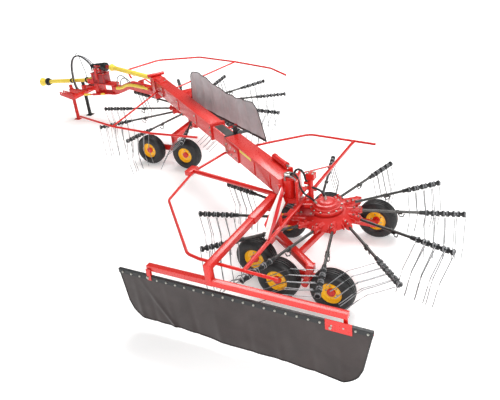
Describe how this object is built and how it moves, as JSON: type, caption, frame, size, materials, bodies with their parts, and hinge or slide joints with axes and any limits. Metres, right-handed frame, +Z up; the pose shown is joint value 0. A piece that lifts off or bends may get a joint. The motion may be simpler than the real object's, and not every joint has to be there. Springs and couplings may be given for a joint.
{
  "type": "trailed two-rotor side-delivery hay rake",
  "caption": "Trailed side-delivery hay rake: a headstock, telescopic slanting beam, two tined rotors on tandem wheels, guard hoops, a swath curtain and warning boards",
  "frame": {"origin": "middle of the ground that the machine covers, under its bounding box", "axes": "+X the way it travels, +Y its left side, +Z up"},
  "size_m": [9.2168, 6.4124, 1.5517],
  "materials": {
    "frame_red": "gloss",
    "cast_red": "satin",
    "cast_grey": "satin",
    "frame_grey": "satin",
    "arm_grey": "satin",
    "guard_yellow": "satin",
    "rim_orange": "gloss",
    "tyre": "matte",
    "curtain_cloth": "matte",
    "board": "gloss"
  },
  "bodies": {
    "frame": {"outer_beam": "frame_red", "pivot_post": "frame_red", "front_hanger": "frame_red", "gooseneck": "frame_red", "upper_shaft": "guard_yellow", "curtain_lugs": "frame_grey", "front_gearbox": "cast_red", "front_chassis": "frame_red", "front_rocker_left": "frame_red", "front_rocker_right": "frame_red", "front_guard_left": "frame_red", "front_guard_right": "frame_red"},
    "headstock": {"headstock": "frame_red", "hitch_gearbox": "cast_grey", "pto_shaft": "guard_yellow"},
    "leg_left": {"parking_leg_left": "frame_red"},
    "leg_right": {"parking_leg_right": "frame_grey"},
    "beam_slide": {"inner_beam": "frame_red", "rear_beam": "frame_red"},
    "rear_unit": {"rear_head": "frame_red", "rear_hoop_left": "frame_red", "rear_hoop_right": "frame_red", "rear_gearbox": "cast_red", "rear_chassis": "frame_red", "rear_rocker_left": "frame_red", "rear_rocker_right": "frame_red", "warning_boards": "board"},
    "curtain": {"curtain_frame": "frame_grey", "swath_curtain": "curtain_cloth"},
    "fold_curtain": {"middle_curtain": "curtain_cloth", "middle_curtain_rail": "frame_grey"},
    "rear_rotor": {"rear_hub": "cast_red", "rear_arms": "arm_grey"},
    "front_rotor": {"front_hub": "cast_red", "front_arms": "arm_grey"},
    "wheel_guide_left": {"tyre_guide_left": "tyre", "rim_guide_left": "rim_orange"},
    "wheel_guide_right": {"tyre_guide_right": "tyre", "rim_guide_right": "rim_orange"},
    "wheel_rear_left_fore": {"tyre_rear_left_fore": "tyre", "rim_rear_left_fore": "rim_orange"},
    "wheel_front_left_fore": {"tyre_front_left_fore": "tyre", "rim_front_left_fore": "rim_orange"},
    "wheel_rear_left_aft": {"tyre_rear_left_aft": "tyre", "rim_rear_left_aft": "rim_orange"},
    "wheel_front_left_aft": {"tyre_front_left_aft": "tyre", "rim_front_left_aft": "rim_orange"},
    "wheel_rear_right_fore": {"tyre_rear_right_fore": "tyre", "rim_rear_right_fore": "rim_orange"},
    "wheel_front_right_fore": {"tyre_front_right_fore": "tyre", "rim_front_right_fore": "rim_orange"},
    "wheel_rear_right_aft": {"tyre_rear_right_aft": "tyre", "rim_rear_right_aft": "rim_orange"},
    "wheel_front_right_aft": {"tyre_front_right_aft": "tyre", "rim_front_right_aft": "rim_orange"}
  },
  "joints": [
    {"name": "headstock_yaw", "type": "hinge", "parent": "frame", "child": "headstock", "pos_m": [2.6148, -1.81696, 0.7], "axis": [0, 0, 1], "range_deg": [-60, 60]},
    {"name": "leg_left_slide", "type": "slide", "parent": "headstock", "child": "leg_left", "axis": [0, 0, 1], "range_m": [0, 0.3]},
    {"name": "leg_right_slide", "type": "slide", "parent": "headstock", "child": "leg_right", "axis": [0, 0, 1], "range_m": [0, 0.3]},
    {"name": "beam_extend", "type": "slide", "parent": "frame", "child": "beam_slide", "axis": [-0.7986, 0.6018, 0], "range_m": [0, 0.5]},
    {"name": "rear_yaw", "type": "hinge", "parent": "beam_slide", "child": "rear_unit", "pos_m": [-2.73845, 1.59202, 1.05], "axis": [0, 0, 1], "range_deg": [-37, 20]},
    {"name": "curtain_out", "type": "slide", "parent": "rear_unit", "child": "curtain", "axis": [0, 1, 0], "range_m": [0, 0.4]},
    {"name": "middle_curtain_fold", "type": "hinge", "parent": "frame", "child": "fold_curtain", "pos_m": [0.0148, -0.70696, 0.99], "axis": [0.8656, -0.5007, 0], "range_deg": [0, 75]},
    {"name": "rear_rotor_spin", "type": "hinge", "parent": "rear_unit", "child": "rear_rotor", "pos_m": [-3.1352, 1.48304, 0.712], "axis": [0, 0, 1], "continuous": true},
    {"name": "front_rotor_spin", "type": "hinge", "parent": "frame", "child": "front_rotor", "pos_m": [0.4348, -1.27696, 0.712], "axis": [0, 0, 1], "continuous": true},
    {"name": "guide_left_spin", "type": "hinge", "parent": "rear_unit", "child": "wheel_guide_left", "pos_m": [-2.4202, 1.92803, 0.25], "axis": [0, 1, 0], "continuous": true},
    {"name": "guide_right_spin", "type": "hinge", "parent": "rear_unit", "child": "wheel_guide_right", "pos_m": [-2.4202, 1.03804, 0.25], "axis": [0, 1, 0], "continuous": true},
    {"name": "rear_left_fore_spin", "type": "hinge", "parent": "rear_unit", "child": "wheel_rear_left_fore", "pos_m": [-2.8442, 2.21803, 0.25], "axis": [0, 1, 0], "continuous": true},
    {"name": "front_left_fore_spin", "type": "hinge", "parent": "frame", "child": "wheel_front_left_fore", "pos_m": [0.7518, -0.34697, 0.25], "axis": [0, 1, 0], "continuous": true},
    {"name": "rear_left_aft_spin", "type": "hinge", "parent": "rear_unit", "child": "wheel_rear_left_aft", "pos_m": [-3.4742, 2.21803, 0.25], "axis": [0, 1, 0], "continuous": true},
    {"name": "front_left_aft_spin", "type": "hinge", "parent": "frame", "child": "wheel_front_left_aft", "pos_m": [0.0318, -0.34697, 0.25], "axis": [0, 1, 0], "continuous": true},
    {"name": "rear_right_fore_spin", "type": "hinge", "parent": "rear_unit", "child": "wheel_rear_right_fore", "pos_m": [-2.8442, 0.65804, 0.25], "axis": [0, 1, 0], "continuous": true},
    {"name": "front_right_fore_spin", "type": "hinge", "parent": "frame", "child": "wheel_front_right_fore", "pos_m": [0.7518, -2.20696, 0.25], "axis": [0, 1, 0], "continuous": true},
    {"name": "rear_right_aft_spin", "type": "hinge", "parent": "rear_unit", "child": "wheel_rear_right_aft", "pos_m": [-3.4742, 0.65804, 0.25], "axis": [0, 1, 0], "continuous": true},
    {"name": "front_right_aft_spin", "type": "hinge", "parent": "frame", "child": "wheel_front_right_aft", "pos_m": [0.0318, -2.20696, 0.25], "axis": [0, 1, 0], "continuous": true}
  ]
}
